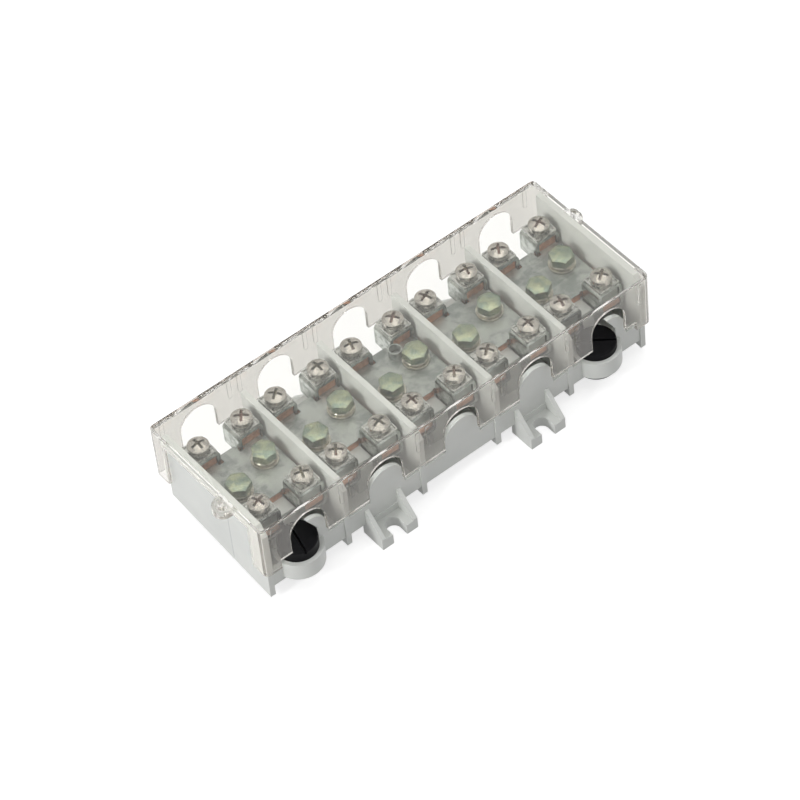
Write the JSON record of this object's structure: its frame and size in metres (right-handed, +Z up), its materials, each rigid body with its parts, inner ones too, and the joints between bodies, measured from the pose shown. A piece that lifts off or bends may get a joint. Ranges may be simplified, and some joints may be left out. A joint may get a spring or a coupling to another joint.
{
  "type": "barrier terminal strip",
  "caption": "Barrier terminal strip: moulded base with partitions, plated busbars with box clamps and bolts, and a clear lift-off cover with cable arches.",
  "frame": {"origin": "on the mounting plane, at the centre of the four foot slots", "axes": "+X along the row of poles, +Y to the rear side, +Z up from the mounting plane"},
  "size_m": [0.2858, 0.1144, 0.0628],
  "materials": {
    "housing": "satin",
    "clear_cover": "clear gloss",
    "black_plug": "satin",
    "tinned_copper": "dull tin plate",
    "zinc_steel": "zinc plated, dull",
    "copper": "bare copper",
    "washer_steel": "bright plated",
    "screw_nickel": "bright plated",
    "bolt_zinc": "pale green-yellow passivated zinc",
    "bolt_washer": "passivated zinc"
  },
  "bodies": {
    "base": {"base": "housing", "plug_left": "black_plug", "plug_right": "black_plug", "busbar_1": "tinned_copper", "busbar_2": "tinned_copper", "busbar_3": "tinned_copper", "busbar_4": "tinned_copper", "busbar_5": "tinned_copper", "clamp_cages_1": "zinc_steel", "clamp_cages_2": "zinc_steel", "clamp_cages_3": "zinc_steel", "clamp_cages_4": "zinc_steel", "clamp_cages_5": "zinc_steel", "clamp_jaws_1": "copper", "clamp_jaws_2": "copper", "clamp_jaws_3": "copper", "clamp_jaws_4": "copper", "clamp_jaws_5": "copper", "saddle_washers": "washer_steel", "clamp_spring_washers": "washer_steel", "bolt_flat_washers": "bolt_washer", "bolt_spring_washers": "bolt_washer", "tap_sleeve": "tinned_copper"},
    "cover": {"cover": "clear_cover"},
    "clamp_screw_1_rl": {"clamp_screw_1_rl": "screw_nickel"},
    "clamp_screw_1_rr": {"clamp_screw_1_rr": "screw_nickel"},
    "clamp_screw_1_fl": {"clamp_screw_1_fl": "screw_nickel"},
    "clamp_screw_1_fr": {"clamp_screw_1_fr": "screw_nickel"},
    "clamp_screw_2_rl": {"clamp_screw_2_rl": "screw_nickel"},
    "clamp_screw_2_rr": {"clamp_screw_2_rr": "screw_nickel"},
    "clamp_screw_2_fl": {"clamp_screw_2_fl": "screw_nickel"},
    "clamp_screw_2_fr": {"clamp_screw_2_fr": "screw_nickel"},
    "clamp_screw_3_rl": {"clamp_screw_3_rl": "screw_nickel"},
    "clamp_screw_3_rr": {"clamp_screw_3_rr": "screw_nickel"},
    "clamp_screw_3_fl": {"clamp_screw_3_fl": "screw_nickel"},
    "clamp_screw_3_fr": {"clamp_screw_3_fr": "screw_nickel"},
    "clamp_screw_4_rl": {"clamp_screw_4_rl": "screw_nickel"},
    "clamp_screw_4_rr": {"clamp_screw_4_rr": "screw_nickel"},
    "clamp_screw_4_fl": {"clamp_screw_4_fl": "screw_nickel"},
    "clamp_screw_4_fr": {"clamp_screw_4_fr": "screw_nickel"},
    "clamp_screw_5_rl": {"clamp_screw_5_rl": "screw_nickel"},
    "clamp_screw_5_rr": {"clamp_screw_5_rr": "screw_nickel"},
    "clamp_screw_5_fl": {"clamp_screw_5_fl": "screw_nickel"},
    "clamp_screw_5_fr": {"clamp_screw_5_fr": "screw_nickel"},
    "hex_bolt_1_rear": {"hex_bolt_1_rear": "bolt_zinc"},
    "hex_bolt_1_front": {"hex_bolt_1_front": "bolt_zinc"},
    "hex_bolt_2_rear": {"hex_bolt_2_rear": "bolt_zinc"},
    "hex_bolt_2_front": {"hex_bolt_2_front": "bolt_zinc"},
    "hex_bolt_3_rear": {"hex_bolt_3_rear": "bolt_zinc"},
    "hex_bolt_3_front": {"hex_bolt_3_front": "bolt_zinc"},
    "hex_bolt_4_rear": {"hex_bolt_4_rear": "bolt_zinc"},
    "hex_bolt_4_front": {"hex_bolt_4_front": "bolt_zinc"},
    "hex_bolt_5_rear": {"hex_bolt_5_rear": "bolt_zinc"},
    "hex_bolt_5_front": {"hex_bolt_5_front": "bolt_zinc"}
  },
  "joints": [
    {"name": "cover_lift", "type": "slide", "parent": "base", "child": "cover", "axis": [0, 0, 1], "range_m": [0, 0.06]},
    {"name": "clamp_screw_1_rl_back_off", "type": "slide", "parent": "base", "child": "clamp_screw_1_rl", "axis": [0, 0, 1], "range_m": [0, 0.003]},
    {"name": "clamp_screw_1_rr_back_off", "type": "slide", "parent": "base", "child": "clamp_screw_1_rr", "axis": [0, 0, 1], "range_m": [0, 0.003]},
    {"name": "clamp_screw_1_fl_back_off", "type": "slide", "parent": "base", "child": "clamp_screw_1_fl", "axis": [0, 0, 1], "range_m": [0, 0.003]},
    {"name": "clamp_screw_1_fr_back_off", "type": "slide", "parent": "base", "child": "clamp_screw_1_fr", "axis": [0, 0, 1], "range_m": [0, 0.003]},
    {"name": "clamp_screw_2_rl_back_off", "type": "slide", "parent": "base", "child": "clamp_screw_2_rl", "axis": [0, 0, 1], "range_m": [0, 0.003]},
    {"name": "clamp_screw_2_rr_back_off", "type": "slide", "parent": "base", "child": "clamp_screw_2_rr", "axis": [0, 0, 1], "range_m": [0, 0.003]},
    {"name": "clamp_screw_2_fl_back_off", "type": "slide", "parent": "base", "child": "clamp_screw_2_fl", "axis": [0, 0, 1], "range_m": [0, 0.003]},
    {"name": "clamp_screw_2_fr_back_off", "type": "slide", "parent": "base", "child": "clamp_screw_2_fr", "axis": [0, 0, 1], "range_m": [0, 0.003]},
    {"name": "clamp_screw_3_rl_back_off", "type": "slide", "parent": "base", "child": "clamp_screw_3_rl", "axis": [0, 0, 1], "range_m": [0, 0.003]},
    {"name": "clamp_screw_3_rr_back_off", "type": "slide", "parent": "base", "child": "clamp_screw_3_rr", "axis": [0, 0, 1], "range_m": [0, 0.003]},
    {"name": "clamp_screw_3_fl_back_off", "type": "slide", "parent": "base", "child": "clamp_screw_3_fl", "axis": [0, 0, 1], "range_m": [0, 0.003]},
    {"name": "clamp_screw_3_fr_back_off", "type": "slide", "parent": "base", "child": "clamp_screw_3_fr", "axis": [0, 0, 1], "range_m": [0, 0.003]},
    {"name": "clamp_screw_4_rl_back_off", "type": "slide", "parent": "base", "child": "clamp_screw_4_rl", "axis": [0, 0, 1], "range_m": [0, 0.003]},
    {"name": "clamp_screw_4_rr_back_off", "type": "slide", "parent": "base", "child": "clamp_screw_4_rr", "axis": [0, 0, 1], "range_m": [0, 0.003]},
    {"name": "clamp_screw_4_fl_back_off", "type": "slide", "parent": "base", "child": "clamp_screw_4_fl", "axis": [0, 0, 1], "range_m": [0, 0.003]},
    {"name": "clamp_screw_4_fr_back_off", "type": "slide", "parent": "base", "child": "clamp_screw_4_fr", "axis": [0, 0, 1], "range_m": [0, 0.003]},
    {"name": "clamp_screw_5_rl_back_off", "type": "slide", "parent": "base", "child": "clamp_screw_5_rl", "axis": [0, 0, 1], "range_m": [0, 0.003]},
    {"name": "clamp_screw_5_rr_back_off", "type": "slide", "parent": "base", "child": "clamp_screw_5_rr", "axis": [0, 0, 1], "range_m": [0, 0.003]},
    {"name": "clamp_screw_5_fl_back_off", "type": "slide", "parent": "base", "child": "clamp_screw_5_fl", "axis": [0, 0, 1], "range_m": [0, 0.003]},
    {"name": "clamp_screw_5_fr_back_off", "type": "slide", "parent": "base", "child": "clamp_screw_5_fr", "axis": [0, 0, 1], "range_m": [0, 0.003]},
    {"name": "hex_bolt_1_rear_back_off", "type": "slide", "parent": "base", "child": "hex_bolt_1_rear", "axis": [0, 0, 1], "range_m": [0, 0.009]},
    {"name": "hex_bolt_1_front_back_off", "type": "slide", "parent": "base", "child": "hex_bolt_1_front", "axis": [0, 0, 1], "range_m": [0, 0.009]},
    {"name": "hex_bolt_2_rear_back_off", "type": "slide", "parent": "base", "child": "hex_bolt_2_rear", "axis": [0, 0, 1], "range_m": [0, 0.009]},
    {"name": "hex_bolt_2_front_back_off", "type": "slide", "parent": "base", "child": "hex_bolt_2_front", "axis": [0, 0, 1], "range_m": [0, 0.009]},
    {"name": "hex_bolt_3_rear_back_off", "type": "slide", "parent": "base", "child": "hex_bolt_3_rear", "axis": [0, 0, 1], "range_m": [0, 0.009]},
    {"name": "hex_bolt_3_front_back_off", "type": "slide", "parent": "base", "child": "hex_bolt_3_front", "axis": [0, 0, 1], "range_m": [0, 0.009]},
    {"name": "hex_bolt_4_rear_back_off", "type": "slide", "parent": "base", "child": "hex_bolt_4_rear", "axis": [0, 0, 1], "range_m": [0, 0.009]},
    {"name": "hex_bolt_4_front_back_off", "type": "slide", "parent": "base", "child": "hex_bolt_4_front", "axis": [0, 0, 1], "range_m": [0, 0.009]},
    {"name": "hex_bolt_5_rear_back_off", "type": "slide", "parent": "base", "child": "hex_bolt_5_rear", "axis": [0, 0, 1], "range_m": [0, 0.009]},
    {"name": "hex_bolt_5_front_back_off", "type": "slide", "parent": "base", "child": "hex_bolt_5_front", "axis": [0, 0, 1], "range_m": [0, 0.009]}
  ]
}
